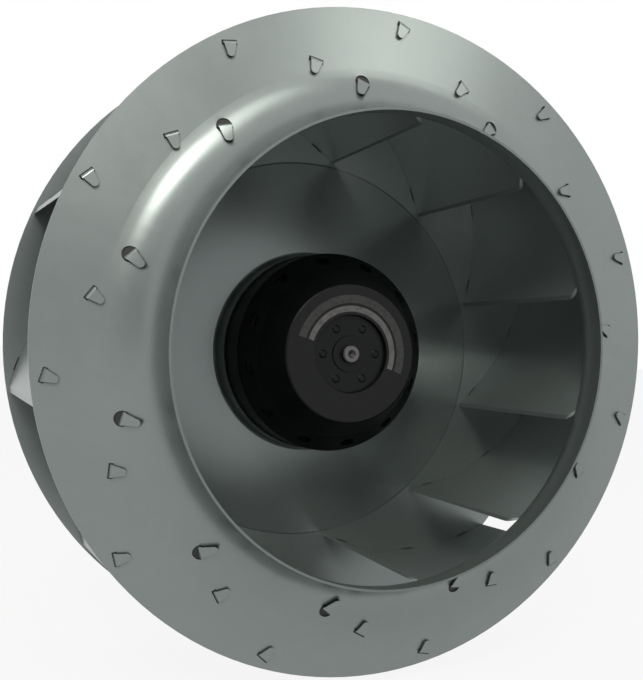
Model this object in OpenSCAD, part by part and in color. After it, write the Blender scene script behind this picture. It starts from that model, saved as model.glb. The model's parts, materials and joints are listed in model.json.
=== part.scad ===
// Plug fan: backward-curved sheet steel impeller on an external-rotor motor.
// Every module is drawn with z = 0 on the motor's mounting face and +z to the inlet;
// placed() then turns the fan axis onto Y, with the inlet facing -Y.

/* [Impeller] */
// Diameter over the shroud rim
impeller_d = 280; // [270:1:290]
// Radius by which the back plate stands out past the shroud rim
back_over = 3.8; // [2:0.1:6]
// Outside diameter of the inlet neck
neck_d = 189.2; // [184:0.2:194]
// Clear width between back plate and shroud at the rim
outlet_w = 81.5; // [74:0.5:90]
// Slope of the flat part of the shroud
shroud_slope = 8.5; // [6:0.5:11]
// Bend radius of the shroud's bell, on its outer face
bell_r = 24; // [20:1:27]
// Straight length at the edge of the neck
neck_len = 3.6; // [2:0.2:6]
// Sheet thickness of the shroud
shroud_t = 1; // [0.8:0.1:1.4]
// Sheet thickness of the back plate
plate_t = 1.5; // [1.2:0.1:2]
// Radius of the bend between the flat back plate and its dish
dish_r = 92.4; // [84:0.2:96]
// Rise of the dish from the flat plate to the collar
dish_rise = 5.8; // [3:0.2:8]
// Height of the pressed step where the dish leaves the flat plate
dish_step = 0.5; // [0.3:0.1:1]
// Inside radius of the collar's bend
collar_bend = 2; // [1.5:0.1:3]
// Height of the drawn collar round the rotor
collar_h = 12; // [8:0.5:16]

/* [Blades] */
// Sheet thickness of a blade
blade_t = 1; // [0.8:0.1:1.4]
// Angle that a blade wraps between its inner and outer edge at the back plate
blade_wrap = 40.5; // [38:0.1:43]
// Depth of the blade's arc as a share of its chord
blade_camber = 0.115; // [0.1:0.001:0.13]
// Sideways lean of a blade from the back plate to the shroud rim
blade_lean = 4.3; // [0:0.1:6]
// Height of the inner edge's corner above the shroud rim
lead_rise = 14.5; // [11:0.5:18]
// Radius of the inner edge's corner
lead_corner = 4; // [2:0.5:6]
// Width of a lock tab where it leaves the blade
tab_w = 5.2; // [4:0.2:6]
// Length of a folded lock tab
tab_len = 5.6; // [5:0.2:8]
// Radius of a lock tab's tip
tab_tip_r = 1.5; // [1:0.1:1.8]
// Outside radius of a lock tab's fold
fold_r = 1.3; // [1:0.1:1.4]

/* [Motor] */
// Outside diameter of the rotor
rotor_d = 92; // [90:1:98]
// Wall of the rotor can
can_t = 2; // [1.6:0.1:2.4]
// Bend radius of the rotor can's shoulder
can_bend = 3; // [2:0.2:4]
// Distance from the mounting face to the front of the back plate
plate_z = 26; // [24:0.5:29]
// Distance from the back plate to the rotor's front face
nose_z = 59.5; // [54:0.5:62]
// Width of the bare label ring on the rotor's face
label_w = 12.8; // [9:0.2:13]
// Circle of the mounting threads in the motor flange
bolt_pcd = 66; // [62:1:70]
// Core diameter of a mounting thread
bolt_core_d = 5; // [4.2:0.1:5.2]
// Depth of the pockets between the flange's ribs
pocket_d = 3; // [2:0.5:5]
// Thickness of a rib in the flange
rib_t = 2.6; // [2:0.2:4]
// Cable opening through the grommet
cable_d = 7; // [5:0.5:8]
// Gap between rotor and stator iron
air_gap = 0.45; // [0.35:0.05:0.7]

/* [Hidden] */
$fn = 96;

// Clearances
seat_c = 0.12;
slot_c = 0.45;
tab_c = 0.35;
press_c = 0.02;
far = 200;
eps = 0.01;

// Impeller: radii and heights shared by shroud, blades and back plate
blade_n = 11;
pitch = 360 / blade_n;
rim_r = impeller_d / 2;
back_r = rim_r + back_over;
neck_r = neck_d / 2;
slope_c = cos(shroud_slope);
slope_s = sin(shroud_slope);
rim_z = plate_z + outlet_w + shroud_t / slope_c;
bell_cr = neck_r + bell_r;
bell_end_r = bell_cr - bell_r * slope_s;
bell_cz = rim_z + (rim_r - bell_end_r) * tan(shroud_slope) + bell_r * slope_c;
neck_z = bell_cz + neck_len;
collar_in = rotor_d / 2 + press_c;
collar_out = collar_in + plate_t * 0.85;
collar_z = plate_z + dish_rise;

// Blades: one arc through the inner and the outer edge, on a cylinder that leans
lead_r = neck_r + 0.7;
lead_z = rim_z + lead_rise;
lead_a = -15.3;
tail_r = back_r - 1.2;
tail_a = lead_a + blade_wrap;
lead_p = lead_r * [cos(lead_a), sin(lead_a)];
tail_p = tail_r * [cos(tail_a), sin(tail_a)];
chord_v = tail_p - lead_p;
chord = norm(chord_v);
arc_r = chord * (1 / (8 * blade_camber) + blade_camber / 2);
arc_out = [chord_v[1], -chord_v[0]] / chord;
arc_c = (lead_p + tail_p) / 2 - arc_out * (arc_r - blade_camber * chord);
lean_a = lead_a - 125.2;
lean_h = rim_z - plate_z;
lean_v = blade_lean * [cos(lean_a), sin(lean_a)];
lean_tilt = atan(blade_lean / lean_h);

// Lock tabs: places along the blade, as shares of the way from inner edge to rim
shroud_tabs = [0.32, 0.545, 0.891];
plate_tabs = [0.134, 0.597, 0.95];
inner_tab = 1.12;
slot_z = rim_z - outlet_w / 10;
slot_h = neck_z - slot_z + 1;

// Motor: radii
rotor_r = rotor_d / 2;
can_in = rotor_r - can_t;
cage_w = 6.6;
cage_in = can_in - cage_w;
stator_r = cage_in - air_gap;
tube_r = 14.5;
shaft_r = 4;
nose_r = rotor_r - 14.5;
label_out = nose_r - 1.1;
label_in = label_out - label_w;
cup_r = label_in - 0.5;
flange_r = rotor_r - 0.5;
shoulder_r = rotor_r - 7.5;

// Motor: heights
can_z = plate_z - 13.5;
flange_t = can_z - 1.5;
stack_z = can_z + 7.5;
stack_h = 34;
stack_top = stack_z + stack_h;
insul_t = 1.2;
face_z = plate_z + nose_z;
cup_z = face_z - 2;
shoulder_z = face_z - 22;
front_brg_z = face_z - 21;
rear_brg_z = 7.5;
tube_top = front_brg_z + 7.5;
label_t = 0.3;

// Bearings 8 x 22 x 7
brg_or = 11;
brg_h = 7;
ball_r = 1.98;
ball_pcr = 7.5;
ball_n = 7;
ball_c = 0.06;

// Flange: centring groove and pockets
spigot_r = 21;
pocket_in = spigot_r + 2.5;
pocket_out = bolt_pcd / 2 + 1;

vent_n = 12;
bolt_n = 4;
cable_r = flange_r - 18.5;
coil_n = 16;

steel = [0.62, 0.66, 0.64];
sheet = [0.55, 0.59, 0.57];
black = [0.08, 0.08, 0.09];
alu = [0.7, 0.7, 0.7];
copper = [0.6, 0.32, 0.18];

function arc_pts(c, r, a0, a1, n) =
  [for (i = [0 : n]) c + r * [cos(a0 + (a1 - a0) * i / n), sin(a0 + (a1 - a0) * i / n)]];

function unit(v) = v / norm(v);

// Points of the arc of radius r that rounds corner p between the edges to a and to b
function bend(a, p, b, r, n = 6) =
  let (
    u = unit(a - p),
    v = unit(b - p),
    half = acos(u * v) / 2,
    c = p + unit(u + v) * r / sin(half),
    s = p + u * r / tan(half) - c,
    e = p + v * r / tan(half) - c,
    a0 = atan2(s[1], s[0]),
    turn = atan2(e[1], e[0]) - a0
  ) arc_pts(c, r, a0, a0 + (turn > 180 ? turn - 360 : turn < -180 ? turn + 360 : turn), n);

function blade_at(share) = lead_r + share * (rim_r - lead_r);

// Centre of the blade's arc at a height
function arc_at(z) = arc_c + lean_v * (z - plate_z) / lean_h;

// Polar angle of the blade at radius r, from the arc's centre c at that height
function blade_polar(r, c) =
  atan2(c[1], c[0]) - acos((r * r + c * c - arc_r * arc_r) / (2 * r * norm(c)));

function blade_pt(r, c) = r * [cos(blade_polar(r, c)), sin(blade_polar(r, c))];

// Height and slope of the shroud's outer face at radius r
function shroud_z(r) =
  r > bell_end_r ? rim_z + (rim_r - r) * tan(shroud_slope)
                 : bell_cz - sqrt(bell_r * bell_r - (bell_cr - r) * (bell_cr - r));

function shroud_a(r) = r > bell_end_r ? shroud_slope : asin((bell_cr - r) / bell_r);

module placed() {
  rotate([90, 0, 0]) children();
}

// Region in front of the surface that lies d behind the shroud's outer face
module before_shroud(d) {
  r = bell_r + d;
  end = [bell_cr - r * slope_s, bell_cz - r * slope_c];
  translate([bell_cr, bell_cz]) circle(r = r);
  translate([bell_cr - r, bell_cz]) square([far, far]);
  polygon([
    [bell_cr, bell_cz],
    end,
    end + far * [slope_c, -slope_s],
    [bell_cr + far, bell_cz + 1]
  ]);
}

// Shell that follows the shroud between two distances behind its outer face
module shroud_shell(d0, d1) {
  rotate_extrude()
    intersection() {
      difference() {
        before_shroud(d1);
        before_shroud(d0);
      }
      square([rim_r, neck_z]);
    }
}

// Stands a child at the foot of a tab at height z, x pointing to the blade's inner side
// and the child's own z leaning outwards by tilt
module at_tab(r, z, tilt = 0) {
  c = arc_at(z);
  p = blade_pt(r, c);
  polar = blade_polar(r, c);
  translate([p[0], p[1], z])
    rotate(polar)
      rotate([0, tilt, 0])
        rotate(atan2(c[1] - p[1], c[0] - p[0]) - polar)
          children();
}

module slot_cut(r, z, low, h) {
  at_tab(r, z)
    translate([-blade_t / 2 - slot_c, -tab_w / 2 - slot_c, low])
      cube([blade_t + 2 * slot_c, tab_w + 2 * slot_c, h]);
}

module tongue_2d(len) {
  polygon([
    [-blade_t / 2, -tab_w / 2],
    [len - tab_tip_r, -tab_tip_r],
    [len - tab_tip_r, tab_tip_r],
    [-blade_t / 2, tab_w / 2]
  ]);
  translate([len - tab_tip_r, 0]) circle(r = tab_tip_r);
}

// Rounds the outer edge of a fold whose top lies at height top
module fold_cut(top) {
  difference() {
    translate([-blade_t / 2 - 1, -tab_w, top - fold_r]) cube([fold_r + 1, 2 * tab_w, fold_r + 1]);
    translate([fold_r - blade_t / 2, -tab_w - 1, top - fold_r])
      rotate([-90, 0, 0]) cylinder(r = fold_r, h = 2 * tab_w + 2);
  }
}

module blade_band() {
  translate([arc_c[0], arc_c[1], plate_z])
    rotate([0, lean_tilt, lean_a])
      translate([0, 0, -outlet_w / 4])
        linear_extrude(height = neck_z)
          intersection() {
            difference() {
              circle(r = arc_r + blade_t / 2);
              circle(r = arc_r - blade_t / 2);
            }
            rotate(atan2(arc_c[1], arc_c[0]) - lean_a) translate([-far, -far]) square([2 * far, far]);
          }
}

// Outline of the blade in radius and height
module blade_side() {
  z0 = plate_z + seat_c;
  difference() {
    union() {
      polygon([
        [lead_r, z0],
        [tail_r, z0],
        [rim_r - 0.4, rim_z],
        [rim_r - 0.4, lead_z],
        [lead_r + lead_corner, lead_z],
        [lead_r, lead_z - lead_corner]
      ]);
      translate([lead_r + lead_corner, lead_z - lead_corner]) circle(r = lead_corner);
    }
    before_shroud(shroud_t + seat_c);
  }
}

module tab_stem(r, z, low, h) {
  intersection() {
    blade_band();
    at_tab(r, z) translate([-2, -tab_w / 2, low]) cube([4, tab_w, h]);
  }
}

module shroud_tab(r, len) {
  z = shroud_z(r);
  top = -tab_c - blade_t;
  difference() {
    union() {
      intersection() {
        tab_stem(r, z, slot_z - z, slot_h);
        shroud_shell(top, shroud_t + 2);
      }
      intersection() {
        at_tab(r, z) translate([0, 0, slot_z - z]) linear_extrude(height = slot_h) tongue_2d(len);
        shroud_shell(top, -tab_c);
      }
    }
    at_tab(r, z, shroud_a(r)) fold_cut(-top);
  }
}

module plate_tab(r) {
  low = -plate_t - tab_c - blade_t;
  difference() {
    union() {
      tab_stem(r, plate_z, low, 1 - low);
      at_tab(r, plate_z) translate([0, 0, low]) linear_extrude(height = blade_t) tongue_2d(tab_len);
    }
    at_tab(r, plate_z) rotate([180, 0, 0]) fold_cut(-low);
  }
}

module blade(k) {
  color(sheet)
    placed()
      rotate(k * pitch) {
        intersection() {
          blade_band();
          rotate_extrude() blade_side();
        }
        for (i = [0 : 2]) shroud_tab(blade_at(shroud_tabs[i]), i == 0 ? inner_tab * tab_len : tab_len);
        for (s = plate_tabs) plate_tab(blade_at(s));
      }
}

module inlet_shroud() {
  color(steel)
    placed()
      difference() {
        shroud_shell(0, shroud_t);
        for (k = [0 : blade_n - 1])
          rotate(k * pitch) {
            for (s = shroud_tabs) slot_cut(blade_at(s), shroud_z(blade_at(s)), -slot_h / 4, slot_h);
            at_tab(blade_at(shroud_tabs[0]), shroud_z(blade_at(shroud_tabs[0])))
              translate([0, 0, -slot_h / 4]) cylinder(r = tab_w / 2 + slot_c, h = slot_h);
          }
      }
}

// Section line of the back plate's face, moved back by t, from the rim to the foot of the collar
function plate_line(t, wall_r, r) =
  let (
    rim = [back_r, plate_z - t],
    low = [dish_r + dish_step * 1.2, plate_z - t],
    high = [dish_r, plate_z + dish_step - t],
    foot = [wall_r, collar_z - t]
  ) concat(
    [rim],
    bend(rim, low, high, dish_step * 1.4, 3),
    bend(low, high, foot, dish_step * 1.4, 3),
    bend(high, foot, [wall_r, collar_z + collar_h], r)
  );

module back_plate() {
  edge = 0.6;
  top = collar_z + collar_h;
  back = plate_line(plate_t, collar_in, collar_bend + collar_out - collar_in);
  color(sheet)
    placed()
      difference() {
        rotate_extrude()
          polygon(concat(
            plate_line(0, collar_out, collar_bend),
            [[collar_out, top - edge], [(collar_in + collar_out) / 2, top], [collar_in, top - edge]],
            [for (i = [len(back) - 1 : -1 : 0]) back[i]]
          ));
        for (k = [0 : blade_n - 1])
          rotate(k * pitch)
            for (s = plate_tabs) slot_cut(blade_at(s), plate_z, -3 * plate_t, 5 * plate_t);
      }
}

module vent_cut() {
  mid_r = (rotor_r + shoulder_r) / 2;
  mid_z = shoulder_z + (rotor_r - shoulder_r) / 2;
  translate([mid_r, 0, mid_z])
    rotate([0, 45, 0])
      translate([0, 0, -5])
        linear_extrude(height = 10) {
          translate([0, -1.3]) circle(r = 2.1);
          translate([0, 1.3]) circle(r = 2.1);
          square([4.2, 2.6], center = true);
        }
}

module rotor_can() {
  rise = rotor_r - shoulder_r;
  in_sh = shoulder_r - can_t * 0.6;
  waist = [shoulder_r, shoulder_z + rise];
  brow = [nose_r - 0.6, face_z];
  color(black)
    placed()
      difference() {
        rotate_extrude()
          polygon(concat(
            [[can_in, can_z], [rotor_r - 0.5, can_z], [rotor_r, can_z + 0.5]],
            bend([rotor_r, can_z], [rotor_r, shoulder_z], waist, can_bend),
            bend([rotor_r, shoulder_z], waist, brow, 2 * can_bend),
            bend(waist, brow, [0, face_z], can_bend / 2),
            [[label_in - 0.1, face_z], [cup_r, cup_z], [8.1, cup_z], [8.1, cup_z - can_t]],
            [[nose_r - can_t - 0.4, cup_z - can_t], [in_sh, shoulder_z + rise - can_t * 0.8]],
            [[can_in, shoulder_z - can_t * 0.4]]
          ));
        for (i = [0 : vent_n - 1]) rotate(i * 360 / vent_n + 11) vent_cut();
        for (i = [0 : 5])
          rotate(i * 60 + 2) translate([cup_r - 4.4, 0, cup_z - can_t - 1]) cylinder(r = 1.35, h = can_t + 2);
      }
}

module rotor_core() {
  color(steel)
    placed()
      difference() {
        translate([0, 0, stack_z - 1]) cylinder(r = can_in - press_c, h = stack_h + 2);
        translate([0, 0, stack_z - 2]) cylinder(r = cage_in, h = stack_h + 4);
      }
}

module rotor_hub() {
  under = cup_z - can_t - press_c;
  color(alu)
    placed() {
      difference() {
        union() {
          translate([0, 0, under - 3]) cylinder(r = cup_r - 1, h = 3);
          translate([0, 0, front_brg_z + brg_h + press_c]) cylinder(r = 5.6, h = 6);
          translate([0, 0, tube_top + 1]) cylinder(r = 9, h = under - tube_top - 1);
          translate([0, 0, under - 1]) cylinder(r = 8, h = can_t + 1.7);
        }
        translate([0, 0, front_brg_z]) cylinder(r = shaft_r + press_c, h = far);
      }
      for (i = [0 : 5])
        rotate(i * 60 + 2)
          translate([cup_r - 4.4, 0, under - 1]) {
            cylinder(r = 1.25, h = can_t + 1.3);
            translate([0, 0, can_t + 1 + 2 * press_c]) cylinder(r1 = 1.9, r2 = 1.2, h = 0.6);
          }
    }
}

module label_ring() {
  color([0.2, 0.2, 0.21])
    placed()
      difference() {
        translate([0, 0, face_z + press_c]) cylinder(r = label_out, h = label_t);
        translate([0, 0, face_z - 1]) cylinder(r = label_in, h = 3);
      }
}

module shaft() {
  end_z = face_z + 1.2;
  color(steel)
    placed()
      difference() {
        translate([0, 0, rear_brg_z - 4])
          rotate_extrude()
            polygon([
              [0, 0], [shaft_r - 0.5, 0], [shaft_r, 0.5],
              [shaft_r, end_z - rear_brg_z + 3.5], [shaft_r - 0.5, end_z - rear_brg_z + 4],
              [0, end_z - rear_brg_z + 4]
            ]);
        translate([0, 0, rear_brg_z - 1.3])
          difference() {
            cylinder(r = shaft_r + 1, h = 1.1);
            translate([0, 0, -1]) cylinder(r = shaft_r - 0.6, h = 4);
          }
        translate([0, 0, end_z - 2]) cylinder(r1 = eps, r2 = 1.9, h = 2 + eps);
      }
}

module shaft_clip() {
  color(steel)
    placed()
      difference() {
        translate([0, 0, rear_brg_z - 1.2]) cylinder(r = 6.2, h = 0.9);
        translate([0, 0, rear_brg_z - 2]) cylinder(r = shaft_r - 0.5, h = 4);
        translate([0, -2.5, rear_brg_z - 2]) cube([10, 5, 4]);
      }
}

module groove(z) {
  translate([0, 0, z + brg_h / 2])
    rotate_extrude() translate([ball_pcr, 0]) circle(r = ball_r + ball_c);
}

module bearing_inner(z) {
  color(steel)
    placed()
      difference() {
        translate([0, 0, z]) cylinder(r = 6.1, h = brg_h);
        translate([0, 0, z - 1]) cylinder(r = shaft_r + press_c, h = brg_h + 2);
        groove(z);
      }
}

module bearing_outer(z) {
  color(steel)
    placed()
      difference() {
        translate([0, 0, z]) cylinder(r = brg_or - press_c, h = brg_h);
        translate([0, 0, z - 1]) cylinder(r = 8.9, h = brg_h + 2);
        groove(z);
      }
}

module bearing_balls(z) {
  color(steel)
    placed()
      translate([0, 0, z + brg_h / 2]) {
        for (i = [0 : ball_n - 1]) rotate(i * 360 / ball_n) translate([ball_pcr, 0, 0]) sphere(r = ball_r);
        difference() {
          translate([0, 0, -0.6]) cylinder(r = ball_pcr + 0.6, h = 1.2);
          translate([0, 0, -2]) cylinder(r = ball_pcr - 0.6, h = 4);
        }
      }
}

// Half of the pocket on one side of a flange rib
module pocket_cut(side) {
  translate([0, 0, -1])
    linear_extrude(height = pocket_d + 1)
      intersection() {
        difference() {
          circle(r = pocket_out);
          circle(r = pocket_in);
        }
        polygon([[rib_t, side * rib_t / 2], [far, side * rib_t / 2], far * [cos(31), side * sin(31)]]);
      }
}

module stator_flange() {
  color(alu)
    placed()
      difference() {
        rotate_extrude()
          polygon([
            [0, 0], [flange_r - 1, 0], [flange_r, 1], [flange_r, flange_t],
            [can_in - 0.8, flange_t], [can_in - 0.8, can_z + 3], [can_in - 2.4, can_z + 3],
            [can_in - 3, flange_t], [tube_r + 2, flange_t], [tube_r, flange_t + 2], [tube_r, tube_top],
            [0, tube_top]
          ]);
        translate([0, 0, -1]) cylinder(r = brg_or, h = rear_brg_z + brg_h + 2.1);
        translate([0, 0, -1]) cylinder(r = brg_or - 1.5, h = far);
        translate([0, 0, front_brg_z - press_c]) cylinder(r = brg_or, h = 20);
        difference() {
          translate([0, 0, -1]) cylinder(r = spigot_r, h = 3);
          translate([0, 0, -2]) cylinder(r = tube_r + 0.5, h = 6);
        }
        for (i = [0 : bolt_n - 1])
          rotate(45 + i * 360 / bolt_n)
            translate([bolt_pcd / 2, 0, -1]) cylinder(r = bolt_core_d / 2, h = flange_t - 0.5);
        for (a = [0, 90, 180], side = [-1, 1]) rotate(a) pocket_cut(side);
        translate([0, -cable_r, -1]) cylinder(r = cable_d / 2 + 3, h = far);
        translate([0, -cable_r, -1]) cylinder(r = cable_d / 2 + 5.2, h = 3.4);
      }
}

module cable_grommet() {
  hole = cable_d / 2 + 3;
  color(black)
    placed()
      translate([0, -cable_r, 0])
        rotate_extrude()
          polygon([
            [cable_d / 2, 0.3], [hole + 1.6, 0.3], [hole + 2, 0.8], [hole + 2, 2.3],
            [hole - 0.1, 2.3], [hole - 0.1, flange_t + 0.1], [hole + 1.2, flange_t + 0.1],
            [hole - 0.4, flange_t + 1.8], [cable_d / 2, flange_t + 1.8]
          ]);
}

module coil_slot(w, r0, r1, z0, h) {
  translate([r0, -w / 2, z0]) cube([r1 - r0, w, h]);
}

module slots(w, r0, r1, z0, h) {
  for (i = [0 : coil_n - 1]) rotate(i * 360 / coil_n) coil_slot(w, r0, r1, z0, h);
}

module stator_core() {
  color([0.35, 0.36, 0.38])
    placed()
      difference() {
        translate([0, 0, stack_z]) cylinder(r = stator_r, h = stack_h);
        translate([0, 0, stack_z - 1]) cylinder(r = tube_r + press_c, h = stack_h + 2);
        slots(5, 21, stator_r - 1.8, stack_z - 1, stack_h + 2);
        slots(1.6, 30, stator_r + 1, stack_z - 1, stack_h + 2);
      }
}

module insulator(z) {
  color([0.85, 0.83, 0.75])
    placed()
      difference() {
        translate([0, 0, z]) cylinder(r = stator_r - 0.4, h = insul_t);
        translate([0, 0, z - 1]) cylinder(r = tube_r + 0.3, h = insul_t + 2);
        slots(5, 21, stator_r - 1.8, z - 1, insul_t + 2);
        slots(1.6, 30, stator_r + 1, z - 1, insul_t + 2);
      }
}

module stator_winding() {
  r0 = 21.5;
  r1 = stator_r - 2.3;
  low = stack_z - insul_t - seat_c;
  high = stack_top + insul_t + seat_c;
  color(copper)
    placed() {
      slots(4, r0, r1, low - 1, high - low + 2);
      rotate_extrude() {
        polygon([[r0, low], [r1, low], [r1, low - 2.2], [r1 - 1.5, low - 3.6], [r0 + 2, low - 3.6], [r0, low - 2.2]]);
        polygon([[r0, high], [r0, high + 4], [r0 + 2, high + 6], [r1 - 3, high + 6], [r1, high + 4], [r1, high]]);
      }
    }
}

module preload_spring() {
  z = rear_brg_z + brg_h;
  color(steel)
    placed()
      rotate_extrude()
        polygon([
          [brg_or - 0.3, z + 0.1], [brg_or - 0.3, z + 0.5],
          [brg_or - 1.9, z + 1], [brg_or - 1.9, z + 0.6]
        ]);
}

module rear_cap() {
  color(steel)
    placed()
      rotate_extrude()
        polygon([
          [0, 0.8], [brg_or - press_c, 0.8], [brg_or - press_c, 3.4], [brg_or - 1, 3.4],
          [brg_or - 1, 1.8], [0, 1.8]
        ]);
}

stator_flange();
stator_core();
stator_winding();
insulator(stack_top + seat_c / 2);  // insulator_front
insulator(stack_z - insul_t - seat_c / 2);  // insulator_rear
bearing_outer(front_brg_z);  // bearing_front_outer
bearing_outer(rear_brg_z);  // bearing_rear_outer
preload_spring();
rear_cap();
cable_grommet();
bearing_balls(front_brg_z);  // bearing_front_balls
bearing_balls(rear_brg_z);  // bearing_rear_balls
inlet_shroud();
back_plate();
rotor_can();
rotor_core();
rotor_hub();
label_ring();
shaft();
shaft_clip();
bearing_inner(front_brg_z);  // bearing_front_inner
bearing_inner(rear_brg_z);  // bearing_rear_inner
blade(0);  // blade_01
blade(1);  // blade_02
blade(2);  // blade_03
blade(3);  // blade_04
blade(4);  // blade_05
blade(5);  // blade_06
blade(6);  // blade_07
blade(7);  // blade_08
blade(8);  // blade_09
blade(9);  // blade_10
blade(10);  // blade_11
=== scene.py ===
"""Dresses the plug fan: a finish for every piece, a white floor, soft light and the camera.

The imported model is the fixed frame. The fan axis runs along Y with the inlet facing -Y, the origin
lies in the motor's mounting face, Z is up and lengths are in metres.
"""

import json
import logging
import math
from dataclasses import dataclass, field, replace
from enum import Enum
from typing import Any, ClassVar, Mapping

import bmesh
import bpy
from mathutils import Matrix, Vector


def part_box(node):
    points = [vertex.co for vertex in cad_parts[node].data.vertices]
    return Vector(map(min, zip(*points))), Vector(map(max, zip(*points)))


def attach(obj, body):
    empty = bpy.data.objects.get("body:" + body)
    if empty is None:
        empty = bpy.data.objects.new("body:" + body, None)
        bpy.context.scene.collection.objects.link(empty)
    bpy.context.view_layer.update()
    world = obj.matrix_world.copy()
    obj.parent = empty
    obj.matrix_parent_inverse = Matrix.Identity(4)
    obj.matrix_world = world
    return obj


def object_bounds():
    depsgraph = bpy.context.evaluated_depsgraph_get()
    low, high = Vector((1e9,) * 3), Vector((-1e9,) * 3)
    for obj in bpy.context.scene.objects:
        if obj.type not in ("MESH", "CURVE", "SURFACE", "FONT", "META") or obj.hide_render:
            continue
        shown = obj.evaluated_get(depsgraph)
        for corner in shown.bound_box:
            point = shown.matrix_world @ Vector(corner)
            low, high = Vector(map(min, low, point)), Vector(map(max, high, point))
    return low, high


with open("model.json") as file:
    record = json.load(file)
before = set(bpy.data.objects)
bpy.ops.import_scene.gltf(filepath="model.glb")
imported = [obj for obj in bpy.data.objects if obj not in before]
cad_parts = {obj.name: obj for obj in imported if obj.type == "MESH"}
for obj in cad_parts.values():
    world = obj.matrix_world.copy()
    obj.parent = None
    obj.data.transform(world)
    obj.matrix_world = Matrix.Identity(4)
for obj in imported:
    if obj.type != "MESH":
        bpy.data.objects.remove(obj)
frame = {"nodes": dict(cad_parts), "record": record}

LOG = logging.getLogger("plug_fan")
MM = 0.001
Color = tuple[float, float, float]
WHITE: Color = (1.0, 1.0, 1.0)
CAD_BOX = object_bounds()
# The shroud's sheet at its rim, measured along the axis.
RIM_EDGE = 1.01 * MM
FLOOR_GAP = 0.2 * MM


class Wire:
    """A shader output that takes part in Python arithmetic."""

    def __init__(self, graph: "Graph", socket: bpy.types.NodeSocket) -> None:
        """Keeps the graph and the socket that carries the value."""
        self.graph = graph
        self.socket = socket

    def _math(self, operation: str, first: Any, second: Any = None) -> "Wire":
        """Adds one Math node.

        Args:
            operation: the node's operation.
            first: the first operand.
            second: the second operand, if the operation has one.

        Returns:
            The node's result.
        """
        inputs = {0: first}
        if second is not None:
            inputs[1] = second
        return self.graph.out("ShaderNodeMath", {"operation": operation}, inputs)

    def __add__(self, other: Any) -> "Wire":
        """Sum with a wire or a number."""
        return self._math("ADD", self, other)

    def __sub__(self, other: Any) -> "Wire":
        """Difference to a wire or a number."""
        return self._math("SUBTRACT", self, other)

    def __rsub__(self, other: Any) -> "Wire":
        """Difference of a number to this wire."""
        return self._math("SUBTRACT", other, self)

    def __mul__(self, other: Any) -> "Wire":
        """Product with a wire or a number."""
        return self._math("MULTIPLY", self, other)

    def __truediv__(self, other: Any) -> "Wire":
        """Quotient by a wire or a number."""
        return self._math("DIVIDE", self, other)

    def __mod__(self, other: Any) -> "Wire":
        """Remainder of this wire, never negative."""
        return self._math("FLOORED_MODULO", self, other)

    def __gt__(self, other: Any) -> "Wire":
        """One where this wire is the greater, zero elsewhere."""
        return self._math("GREATER_THAN", self, other)

    def __lt__(self, other: Any) -> "Wire":
        """One where this wire is the smaller, zero elsewhere."""
        return self._math("LESS_THAN", self, other)

    def __abs__(self) -> "Wire":
        """Absolute value."""
        return self._math("ABSOLUTE", self)

    def most(self, other: Any) -> "Wire":
        """The greater of this wire and another."""
        return self._math("MAXIMUM", self, other)

    def span(self, other: "Wire") -> "Wire":
        """Length of the vector whose two parts are this wire and another."""
        return self._math("SQRT", self * self + other * other)

    def angle_to(self, other: "Wire") -> "Wire":
        """Angle whose tangent is this wire over the other."""
        return self._math("ARCTAN2", self, other)

    def between(self, limits: tuple[float, float]) -> "Wire":
        """One where this wire lies between two limits, zero elsewhere."""
        return (self > limits[0]) * (self < limits[1])

    def ramp(self, low: float, high: float, to_low: float = 0.0, to_high: float = 1.0) -> "Wire":
        """Maps a range smoothly onto another.

        Args:
            low: value that gives to_low.
            high: value that gives to_high.
            to_low: first end of the new range.
            to_high: second end of the new range.

        Returns:
            The mapped value.
        """
        settings = {"interpolation_type": "SMOOTHSTEP"}
        inputs = {"Value": self, "From Min": low, "From Max": high, "To Min": to_low, "To Max": to_high}
        return self.graph.out("ShaderNodeMapRange", settings, inputs)


@dataclass(frozen=True)
class Noise:
    """Soft noise: waves per metre, octaves and the share of the finer octaves."""

    scale: float
    detail: float = 2.0
    rough: float = 0.5


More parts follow.
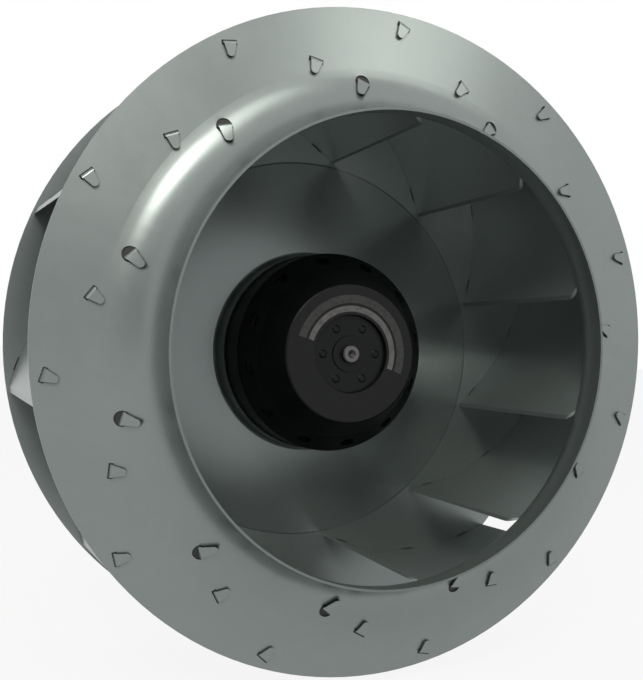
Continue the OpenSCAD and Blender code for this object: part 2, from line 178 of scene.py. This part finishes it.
class Graph:
    """The nodes of one material or of the world."""

    CREVICE_SAMPLES = 8

    def __init__(self, tree: bpy.types.NodeTree) -> None:
        """Empties the tree that the graph fills."""
        self.tree = tree
        tree.nodes.clear()

    def node(
        self, kind: str, settings: Mapping[str, Any] | None = None, inputs: Mapping[Any, Any] | None = None
    ) -> bpy.types.Node:
        """Adds a node of any kind.

        Args:
            kind: the node's type.
            settings: values of the node itself, which are set first.
            inputs: values or wires of its sockets, by name or number.

        Returns:
            The new node.
        """
        made = self.tree.nodes.new(kind)
        for name, value in (settings or {}).items():
            setattr(made, name, value)
        for key, value in (inputs or {}).items():
            socket = made.inputs[key]
            if isinstance(value, Wire):
                self.tree.links.new(value.socket, socket)
            elif isinstance(value, (tuple, list)) and len(value) == 3 and socket.type == "RGBA":
                socket.default_value = (*value, 1.0)
            else:
                socket.default_value = value
        return made

    def out(
        self,
        kind: str,
        settings: Mapping[str, Any] | None = None,
        inputs: Mapping[Any, Any] | None = None,
        output: Any = 0,
    ) -> Wire:
        """Adds a node and returns one of its outputs; the arguments are those of node()."""
        return Wire(self, self.node(kind, settings, inputs).outputs[output])

    def place(self) -> Wire:
        """Position on the piece, in metres of the part's frame."""
        return self.out("ShaderNodeTexCoord", output="Object")

    def axes(self, vector: Wire) -> tuple[Wire, Wire, Wire]:
        """The three parts of a vector."""
        split = self.node("ShaderNodeSeparateXYZ", None, {0: vector})
        return Wire(self, split.outputs[0]), Wire(self, split.outputs[1]), Wire(self, split.outputs[2])

    def join(self, x: Any, y: Any, z: Any) -> Wire:
        """A vector of three values."""
        return self.out("ShaderNodeCombineXYZ", None, {0: x, 1: y, 2: z})

    def noise(self, at: Wire, kind: Noise) -> Wire:
        """Soft noise between 0 and 1 at a position."""
        inputs = {"Vector": at, "Scale": kind.scale, "Detail": kind.detail, "Roughness": kind.rough}
        return self.out("ShaderNodeTexNoise", None, inputs, "Fac")

    def crevice(self, reach: float) -> Wire:
        """One on open faces, falling to zero in corners nearer than the reach."""
        settings = {"samples": self.CREVICE_SAMPLES, "only_local": False}
        return self.out("ShaderNodeAmbientOcclusion", settings, {"Distance": reach}, "AO")

    def tint(self, share: Wire, low: Any, high: Any) -> Wire:
        """Mixes two colours by a value."""
        inputs = {"Factor": share, 6: low, 7: high}
        return self.out("ShaderNodeMix", {"data_type": "RGBA", "clamp_factor": True}, inputs, 2)

    def glow(self, kind: str, strength: float) -> Wire:
        """White light of an emission or a background."""
        return self.out(kind, None, {"Color": WHITE, "Strength": strength})

    def blend(self, share: Wire, first: Wire, second: Wire) -> Wire:
        """Mixes two shaders by a value."""
        return self.out("ShaderNodeMixShader", None, {0: share, 1: first, 2: second})

    def shown(self) -> Wire:
        """One for rays that show the background: the camera's, mirrored ones and those through glass."""
        path = self.node("ShaderNodeLightPath")
        camera, gloss, through = (
            Wire(self, path.outputs[f"Is {kind} Ray"]) for kind in ("Camera", "Glossy", "Transmission")
        )
        return camera.most(gloss).most(through)


class Grain(Enum):
    """Run of the fine marks on a sheet."""

    TURNED = "turned"
    ROLLED = "rolled"


@dataclass(frozen=True)
class InnerEdge:
    """A blade's cut edge at the inlet: its radius, its front and the corner between them."""

    radius: float
    front: float
    corner: float


@dataclass(frozen=True)
class Finish:
    """A surface finish: it makes the material of one of the record's slots."""

    PATCHES: ClassVar[Noise] = Noise(90.0, 3.0)
    FINE: ClassVar[Noise] = Noise(1800.0)

    name: str
    base: Color
    roughness: float
    metallic: float = 0.0

    def paint(self) -> bpy.types.Material:
        """Makes the material."""
        material = bpy.data.materials.new(self.name)
        material.use_nodes = True
        graph = Graph(material.node_tree)
        color, rough, bump = self.surface(graph, graph.place())
        inputs = {"Base Color": color, "Roughness": rough, "Metallic": self.metallic, "Normal": bump}
        shader = graph.out("ShaderNodeBsdfPrincipled", None, {**inputs, **self.extras()})
        graph.node("ShaderNodeOutputMaterial", None, {"Surface": shader})
        return material

    def surface(self, graph: Graph, at: Wire) -> tuple[Wire, Wire, Wire]:
        """Colour, roughness and normal over the surface.

        Args:
            graph: the material's nodes.
            at: position on the piece.

        Returns:
            Colour, roughness and the bumped normal.
        """
        color = graph.tint(graph.noise(at, self.PATCHES), self.shade(0.92), self.shade(1.08))
        fine = graph.noise(at, self.FINE)
        return color, self.dulled((fine, 0.1)), self.bumps(graph, fine, 0.04 * MM)

    def extras(self) -> dict[str, Any]:
        """Constant values of the shader's other sockets."""
        return {}

    def shade(self, factor: float) -> Color:
        """The base colour, lighter or darker."""
        return (self.base[0] * factor, self.base[1] * factor, self.base[2] * factor)

    def dulled(self, *swings: tuple[Wire, float]) -> Wire:
        """Roughness that swings round the finish's own.

        Args:
            swings: values between 0 and 1, each with the width of its swing.

        Returns:
            The roughness.
        """
        total: Any = self.roughness - sum(width for _, width in swings) / 2
        for value, width in swings:
            total = value * width + total
        return total

    def bumps(self, graph: Graph, height: Wire, depth: float) -> Wire:
        """Normal that follows a height.

        Args:
            graph: the material's nodes.
            height: height between 0 and 1.
            depth: height of 1, in metres.

        Returns:
            The bumped normal.
        """
        inputs = {"Height": height, "Distance": depth, "Strength": 1.0}
        return graph.out("ShaderNodeBump", None, inputs, "Normal")


@dataclass(frozen=True)
class GalvanisedSheet(Finish):
    """Skin-passed zinc-coated sheet: nearly even, with faint spangle, smudges and forming marks.

    Its cut edge on show is duller than the faces: the shroud's at the inlet, where edge_y bounds it,
    or a blade's inner edge. Painted shade may darken narrow corners, and light scuffs may mark the faces.
    """

    MARKS: ClassVar[Noise] = Noise(1.0, 3.0, 0.6)
    SCRATCH: ClassVar[Noise] = Noise(1.0, 2.0, 0.4)
    SMUDGE: ClassVar[Noise] = Noise(26.0, 5.0, 0.6)
    STAIN: ClassVar[Noise] = Noise(7.0, 3.0, 0.55)
    SPANGLE: ClassVar[float] = 210.0
    EDGE_SHADE: ClassVar[float] = 0.75
    EDGE_DULL: ClassVar[float] = 0.3
    EDGE_SLACK: ClassVar[float] = 0.1 * MM

    grain: Grain = Grain.TURNED
    edge_y: float | None = None
    inner_edge: InnerEdge | None = None
    # Reach of the painted shade in narrow corners, in metres; zero for none.
    crevice_shade: float = 0.0
    scuffs: float = 0.0

    def surface(self, graph: Graph, at: Wire) -> tuple[Wire, Wire, Wire]:
        """Colour, roughness and normal of the sheet; see Finish.surface."""
        x, y, z = graph.axes(at)
        cell = graph.out("ShaderNodeTexVoronoi", None, {"Vector": at, "Scale": self.SPANGLE}, "Color")
        flake = graph.axes(cell)[0]
        marks = graph.noise(self.run(graph, x, y, z), self.MARKS)
        smudge = graph.noise(at, self.SMUDGE)
        stain = graph.noise(at, self.STAIN)
        tone = flake * 0.06 + smudge * 0.32 + stain * 0.52 + marks * 0.1
        color = graph.tint(tone.ramp(0.3, 0.7), self.shade(0.95), self.shade(1.05))
        if self.scuffs:
            slant = graph.join(x * 45.0 + z * 30.0, y * 60.0, z * 900.0 - x * 500.0)
            line = graph.noise(slant, self.SCRATCH).ramp(0.7, 0.76) * smudge.ramp(0.54, 0.62)
            color = graph.tint(line * self.scuffs, color, self.shade(1.3))
        if self.crevice_shade:
            # Painted shade: the occlusion measure darkens narrow corners and the gaps round the slots.
            color = graph.tint(graph.crevice(self.crevice_shade).ramp(0.35, 0.9), self.shade(0.22), color)
        rough = self.dulled((flake, 0.015), (smudge, 0.08), (stain, 0.06))
        edge = self.cut_edge(x, y, z)
        if edge is not None:
            color = graph.tint(edge, color, self.shade(self.EDGE_SHADE))
            rough = rough + edge * self.EDGE_DULL
        return color, rough, self.bumps(graph, marks * 0.5 + smudge * 0.5, 0.003 * MM)

    def run(self, graph: Graph, x: Wire, y: Wire, z: Wire) -> Wire:
        """Position scaled so that noise there runs as the sheet's fine marks do.

        Args:
            graph: the material's nodes.
            x: place across the fan.
            y: place along the fan's axis.
            z: height.

        Returns:
            The scaled position.
        """
        if self.grain is Grain.TURNED:
            return graph.join(x.span(z) * 1900.0, y * 900.0, 0.0)
        return graph.join(x * 1500.0, y * 60.0, z * 1500.0)

    def cut_edge(self, x: Wire, y: Wire, z: Wire) -> Wire | None:
        """Where the cut edge is.

        Args:
            x: place across the fan.
            y: place along the fan's axis.
            z: height.

        Returns:
            1 on the edge and 0 elsewhere, or None for a sheet whose edge doesn't show.
        """
        if self.edge_y is not None:
            return y < self.edge_y
        if self.inner_edge is not None:
            edge = self.inner_edge
            inward = ((edge.radius + edge.corner) - x.span(z)).most(0.0)
            forward = ((edge.front + edge.corner) - y).most(0.0)
            return inward.span(forward) > edge.corner - self.EDGE_SLACK
        return None


@dataclass(frozen=True)
class SatinCoat(Finish):
    """Satin black coat with a fine orange peel."""

    PEEL: ClassVar[Noise] = Noise(1400.0)
    DUST: ClassVar[Noise] = Noise(150.0, 5.0, 0.65)

    def surface(self, graph: Graph, at: Wire) -> tuple[Wire, Wire, Wire]:
        """Colour, roughness and normal of the coat; see Finish.surface."""
        peel = graph.noise(at, self.PEEL)
        dust = graph.noise(at, self.DUST)
        color = graph.tint(dust.ramp(0.55, 0.85), self.base, self.shade(1.6))
        return color, self.dulled((dust, 0.16)), self.bumps(graph, peel, 0.05 * MM)

    def extras(self) -> dict[str, Any]:
        """Low gloss of the coat."""
        return {"Specular IOR Level": 0.18}


@dataclass(frozen=True)
class LabelFilm(Finish):
    """Dark label film on a turned face: bare but for a plain grey band and a row of ticks."""

    SCUFF: ClassVar[Noise] = Noise(420.0, 4.0, 0.6)
    GROOVES: ClassVar[Noise] = Noise(1.0, 1.0)

    print_color: Color = (0.12, 0.12, 0.12)
    band: tuple[float, float] = (18.8 * MM, 21.4 * MM)
    ticks: tuple[float, float] = (22.6 * MM, 26.2 * MM)
    tick_rate: float = 57.0
    tick_share: float = 0.62
    tick_print: float = 0.55
    sweep: tuple[float, float] = (math.radians(-18.0), math.radians(164.0))
    groove: float = 0.45 * MM

    def surface(self, graph: Graph, at: Wire) -> tuple[Wire, Wire, Wire]:
        """Colour, roughness and normal of the film; see Finish.surface."""
        x, _, z = graph.axes(at)
        radius = x.span(z)
        angle = z.angle_to(x)
        scuff = graph.noise(at, self.SCUFF)
        comb = (((angle * self.tick_rate) % 1.0) < self.tick_share) * radius.between(self.ticks)
        drawn = radius.between(self.band).most(comb * self.tick_print)
        printed = angle.between(self.sweep) * drawn * scuff.ramp(0.25, 0.6, 0.55, 1.0)
        color = graph.tint(printed, self.base, self.print_color)
        turned = graph.noise(graph.join(radius / self.groove, 0.0, 0.0), self.GROOVES)
        return color, self.dulled((scuff, 0.1)), self.bumps(graph, turned, 0.07 * MM)

    def extras(self) -> dict[str, Any]:
        """Low gloss of the film."""
        return {"Specular IOR Level": 0.22}


@dataclass(frozen=True)
class CastMetal(Finish):
    """Die-cast metal with a fine pebbled skin."""

    PEBBLE: ClassVar[Noise] = Noise(900.0, 3.0)
    FLOW: ClassVar[Noise] = Noise(70.0, 4.0, 0.6)

    def surface(self, graph: Graph, at: Wire) -> tuple[Wire, Wire, Wire]:
        """Colour, roughness and normal of the casting; see Finish.surface."""
        pebble = graph.noise(at, self.PEBBLE)
        flow = graph.noise(at, self.FLOW)
        color = graph.tint(flow.ramp(0.3, 0.75), self.shade(0.82), self.shade(1.12))
        return color, self.dulled((flow, 0.2), (pebble, 0.08)), self.bumps(graph, pebble, 0.12 * MM)


@dataclass(frozen=True)
class StackedSheet(Finish):
    """Edges of stacked electrical sheet."""

    STAIN: ClassVar[Noise] = Noise(140.0, 4.0)

    sheet: float = 0.5 * MM
    seam: float = 0.08 * MM

    def surface(self, graph: Graph, at: Wire) -> tuple[Wire, Wire, Wire]:
        """Colour, roughness and normal of the stack; see Finish.surface."""
        _, y, _ = graph.axes(at)
        face = (y % self.sheet).ramp(0.0, self.seam)
        stain = graph.noise(at, self.STAIN)
        color = graph.tint(face * 0.7 + stain * 0.3, self.shade(0.5), self.shade(1.15))
        return color, self.dulled((stain, 0.2)), self.bumps(graph, face, 0.06 * MM)


@dataclass(frozen=True)
class WoundWire(Finish):
    """Lacquered wire, wound round the axis, with painted shade in the grooves between turns."""

    STAIN: ClassVar[Noise] = Noise(300.0, 3.0)

    wire: float = 0.6 * MM

    def surface(self, graph: Graph, at: Wire) -> tuple[Wire, Wire, Wire]:
        """Colour, roughness and normal of the winding; see Finish.surface."""
        x, y, z = graph.axes(at)
        turn = abs(((x.span(z) + y) % self.wire) / self.wire - 0.5) * 2.0
        stain = graph.noise(at, self.STAIN)
        # Painted shade: each turn is lighter at its crown and darker in the groove to the next turn.
        color = graph.tint(turn * 0.6 + stain * 0.4, self.shade(1.15), self.shade(0.45))
        return color, self.dulled((stain, 0.2)), self.bumps(graph, 1.0 - turn, 0.2 * MM)


class Slot(Enum):
    """Finish slots of the record, with the finish that dresses each."""

    SHEET = GalvanisedSheet("galvanised_sheet", (0.22, 0.25, 0.243), 0.3, 0.7)
    ROTOR = SatinCoat("rotor_black", (0.003, 0.0036, 0.0038), 0.38)
    LABEL = LabelFilm("label_film", (0.003, 0.0034, 0.0036), 0.3)
    CASTING = CastMetal("cast_aluminium", (0.5, 0.51, 0.52), 0.5, 1.0)
    GROUND = Finish("bright_steel", (0.55, 0.56, 0.56), 0.28, 1.0)
    STACK = StackedSheet("lamination", (0.2, 0.2, 0.21), 0.5, 0.8)
    COPPER = WoundWire("winding_copper", (0.45, 0.17, 0.07), 0.4, 0.7)
    INSULATOR = Finish("insulator_plastic", (0.68, 0.65, 0.55), 0.5)
    RUBBER = Finish("grommet_rubber", (0.016, 0.016, 0.016), 0.7)


@dataclass
class Dressing:
    """Gives every piece of the frame its finish."""

    blade_edge: InnerEdge = InnerEdge(95.3 * MM, -123.01 * MM, 4.0 * MM)
    neck_edge: float = 0.05 * MM
    painted: dict[str, bpy.types.Material] = field(default_factory=dict)

    def material(self, finish: Finish) -> bpy.types.Material:
        """The material of a finish, made once."""
        if finish.name not in self.painted:
            self.painted[finish.name] = finish.paint()
        return self.painted[finish.name]

    def finish_of(self, node: str, slot: str) -> Finish:
        """The finish of a piece.

        Args:
            node: the piece's name.
            slot: its slot in the record.

        Returns:
            The slot's finish; a blade's sheet has straight rolling marks and a dull inner edge, the
            shroud's sheet has a dull edge at the inlet and painted shade round its slots, and the
            shaft is duller than other ground steel.
        """
        finish = next(s.value for s in Slot if s.value.name == slot)
        if node.startswith("blade"):
            return replace(finish, name="blade_sheet", grain=Grain.ROLLED, inner_edge=self.blade_edge)
        if node == "inlet_shroud":
            edge_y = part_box(node)[0][1] + self.neck_edge
            # The shroud's narrow corners and slots get painted shade; its scuffs are wear.
            wear_and_shade = {"roughness": 0.31, "crevice_shade": 1.4 * MM, "scuffs": 0.1}
            return replace(finish, name="shroud_sheet", edge_y=edge_y, **wear_and_shade)
        if node == "shaft":
            return replace(finish, name="shaft_steel", base=(0.12, 0.12, 0.12), roughness=0.45)
        return finish

    def dress(self) -> None:
        """Puts the finishes on the frame's pieces."""
        for row in frame["record"]["subparts"]:
            piece = frame["nodes"][row["node"]]
            material = self.material(self.finish_of(row["node"], row["material_slot"]))
            piece.data.materials.clear()
            piece.data.materials.append(material)
            LOG.info("%s wears %s", piece.name, material.name)


@dataclass(frozen=True)
class Station:
    """A tab's radius and height, the sheet's tilt there in degrees and the depth of its middle."""

    radius: float
    height: float
    tilt: float
    depth: float


@dataclass
class SlotShadeFill:
    """Dark pieces of painted shade that close the gap round the blades' lock tabs in the plate and in the
    shroud.

    A blade is an arc round a centre that moves with the height above the mounting face, as the blade
    leans. Lengths are in millimetres.
    """

    blades: int = 11
    arc_r: float = 107.05
    centre: tuple[float, float] = (22.083, 55.984)
    lean: tuple[float, float] = (-0.04021, -0.03315)
    plate_z: float = 26.0
    half: tuple[float, float, float] = (1.0, 3.1, 0.15)
    relief: Station = Station(109.604, 113.726, 22.01, 0.5)
    relief_r: float = 3.35
    relief_sides: int = 20
    slots: tuple[Station, ...] = (
        Station(119.662, 111.551, 8.5, 0.5),
        Station(135.128, 109.239, 8.5, 0.5),
        Station(101.29, 26.0, 0.0, 0.75),
        Station(121.986, 26.0, 0.0, 0.75),
        Station(137.765, 26.0, 0.0, 0.75),
    )
    # Near-black matt finish that paints shade into the slot gaps.
    shade_fill: Finish = Finish("slot_grime", (0.02, 0.022, 0.022), 0.7)

    def stand(self, blade: int, station: Station) -> Matrix:
        """Place of the grime round one tab.

        Args:
            blade: the blade's number, from 0.
            station: where the tab is.

        Returns:
            The place in the frame, with x across the blade and y along it.
        """
        radius = station.radius
        rise = station.height - self.plate_z
        cx, cy = self.centre[0] + self.lean[0] * rise, self.centre[1] + self.lean[1] * rise
        far = math.hypot(cx, cy)
        polar = math.atan2(cy, cx) - math.acos((radius**2 + far**2 - self.arc_r**2) / (2 * radius * far))
        px, py = radius * math.cos(polar), radius * math.sin(polar)
        across = math.atan2(cy - py, cx - px)
        spin = Matrix.Rotation(math.tau * blade / self.blades, 4, "Z")
        move = Matrix.Translation((px, py, station.height))
        lie = Matrix.Rotation(polar, 4, "Z") @ Matrix.Rotation(math.radians(station.tilt), 4, "Y")
        turn = Matrix.Rotation(across - polar, 4, "Z") @ Matrix.Translation((0.0, 0.0, -station.depth))
        upright = Matrix.Scale(MM, 4) @ Matrix.Rotation(math.pi / 2, 4, "X")
        return upright @ spin @ move @ lie @ turn

    def build(self, finish: Finish) -> None:
        """Makes the dark fill of painted shade as one piece on the wheel.

        Args:
            finish: the sheet's finish, which is not used.
        """
        shape = bmesh.new()
        for blade in range(self.blades):
            for station in self.slots:
                place = self.stand(blade, station) @ Matrix.Diagonal((*self.half, 1.0))
                bmesh.ops.create_cube(shape, size=2.0, matrix=place)
            bmesh.ops.create_cone(
                shape,
                cap_ends=True,
                segments=self.relief_sides,
                radius1=self.relief_r,
                radius2=self.relief_r,
                depth=2 * self.half[2],
                matrix=self.stand(blade, self.relief),
            )
        mesh = bpy.data.meshes.new("slot_grime")
        shape.to_mesh(mesh)
        shape.free()
        piece = bpy.data.objects.new("slot_grime", mesh)
        bpy.context.scene.collection.objects.link(piece)
        mesh.materials.append(self.shade_fill.paint())
        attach(piece, "wheel")
        LOG.info("%s rides on the wheel", piece.name)


@dataclass(frozen=True)
class Lamp:
    """A soft lamp: where it hangs, its width and height in metres, and its power in watts."""

    name: str
    place: tuple[float, float, float]
    size: tuple[float, float]
    power: float


@dataclass
class Studio:
    """White floor, soft lamps, pale surroundings and the camera.

    The lamps and the ambient light together show a matt face at about the colour it is written in.
    """

    floor_z: float
    rim_y: float
    floor_half: float = 25.0
    floor_color: Color = (0.5, 0.5, 0.5)
    floor_white: float = 0.9
    ambient: float = 0.5
    front_level: float = 0.5
    lamp_color: Color = (1.0, 0.965, 0.9)
    lamps: tuple[Lamp, ...] = (
        Lamp("key", (-0.6, -1.2, 0.95), (0.4, 0.4), 10.0),
        Lamp("left", (-0.28, -0.98, 1.18), (0.75, 0.4), 3.5),
        Lamp("right", (0.61, -1.2, 0.9), (0.46, 0.4), 2.2),
    )
    eye: tuple[float, float, float] = (-0.1706, -0.3639, 0.0003)
    right: tuple[float, float, float] = (0.92639, -0.37454, 0.03889)
    up: tuple[float, float, float] = (0.0, 0.10328, 0.99463)
    lens: float = 49.95
    shift: float = 0.1515
    clip_start: float = 0.01

    def build(self) -> None:
        """Makes the whole studio."""
        self.make_floor()
        self.make_world()
        for lamp in self.lamps:
            self.hang(lamp)
        self.make_camera()

    def make_floor(self) -> None:
        """A wide matt floor that shows as white and keeps some of the fan's shadow."""
        half = self.floor_half
        mesh = bpy.data.meshes.new("floor")
        corners = [(-half, -half, 0.0), (half, -half, 0.0), (half, half, 0.0), (-half, half, 0.0)]
        mesh.from_pydata(corners, [], [(0, 1, 2, 3)])
        floor = bpy.data.objects.new("floor", mesh)
        floor.location = (0.0, 0.0, self.floor_z)
        bpy.context.scene.collection.objects.link(floor)
        material = bpy.data.materials.new("pale_floor")
        material.use_nodes = True
        graph = Graph(material.node_tree)
        dull = {"Base Color": self.floor_color, "Roughness": 1.0, "Specular IOR Level": 0.0}
        matt = graph.out("ShaderNodeBsdfPrincipled", None, dull)
        white = graph.glow("ShaderNodeEmission", 1.0)
        surface = graph.blend(graph.shown() * self.floor_white, matt, white)
        graph.node("ShaderNodeOutputMaterial", None, {"Surface": surface})
        mesh.materials.append(material)

    def make_world(self) -> None:
        """Surroundings that the camera sees and metal mirrors.

        They are white behind the fan and greyer in front of it, towards the left and below.
        """
        world = bpy.data.worlds.new("surroundings")
        world.use_nodes = True
        bpy.context.scene.world = world
        graph = Graph(world.node_tree)
        side, ahead, height = graph.axes(graph.out("ShaderNodeTexCoord", output="Generated"))
        low = self.front_level
        front = side.ramp(-0.6, 0.4, low, 1.0).most(height.ramp(0.1, 0.8, low, 1.0))
        level = front + (1.0 - front) * ahead.ramp(-0.2, 0.2)
        dark = graph.glow("ShaderNodeBackground", 0.0)
        ambient = graph.glow("ShaderNodeBackground", self.ambient)
        white = graph.glow("ShaderNodeBackground", 1.0)
        surface = graph.blend(graph.shown(), ambient, graph.blend(level, dark, white))
        graph.node("ShaderNodeOutputWorld", None, {"Surface": surface})

    def hang(self, lamp: Lamp) -> None:
        """Hangs a lamp so that it faces the fan."""
        data = bpy.data.lights.new(lamp.name, "AREA")
        data.shape = "RECTANGLE"
        data.size, data.size_y = lamp.size
        data.energy = lamp.power
        data.color = self.lamp_color
        light = bpy.data.objects.new(lamp.name, data)
        place = Vector(lamp.place)
        aim = Vector((0.0, self.rim_y / 2, 0.0)) - place
        turn = aim.to_track_quat("-Z", "Y").to_matrix().to_4x4()
        light.matrix_world = Matrix.Translation(place) @ turn
        bpy.context.scene.collection.objects.link(light)

    def make_camera(self) -> None:
        """Camera at the photograph's place, measured from the middle of the shroud's rim."""
        data = bpy.data.cameras.new("camera")
        data.lens = self.lens
        data.shift_y = self.shift
        data.clip_start = self.clip_start
        camera = bpy.data.objects.new("camera", data)
        right, up = Vector(self.right), Vector(self.up)
        turn = Matrix((right, up, right.cross(up))).transposed().to_4x4()
        place = Vector(self.eye) + Vector((0.0, self.rim_y, 0.0))
        camera.matrix_world = Matrix.Translation(place) @ turn
        bpy.context.scene.collection.objects.link(camera)
        bpy.context.scene.camera = camera


def main() -> None:
    """Dresses the fan and builds the studio round it."""
    logging.basicConfig(level=logging.INFO, format="%(name)s: %(message)s")
    bpy.context.scene.view_settings.view_transform = "Standard"
    Dressing().dress()
    SlotShadeFill().build(Slot.SHEET.value)
    rim_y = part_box("inlet_shroud")[1][1] - RIM_EDGE
    Studio(floor_z=CAD_BOX[0][2] - FLOOR_GAP, rim_y=rim_y).build()


if __name__ == "__main__":
    main()
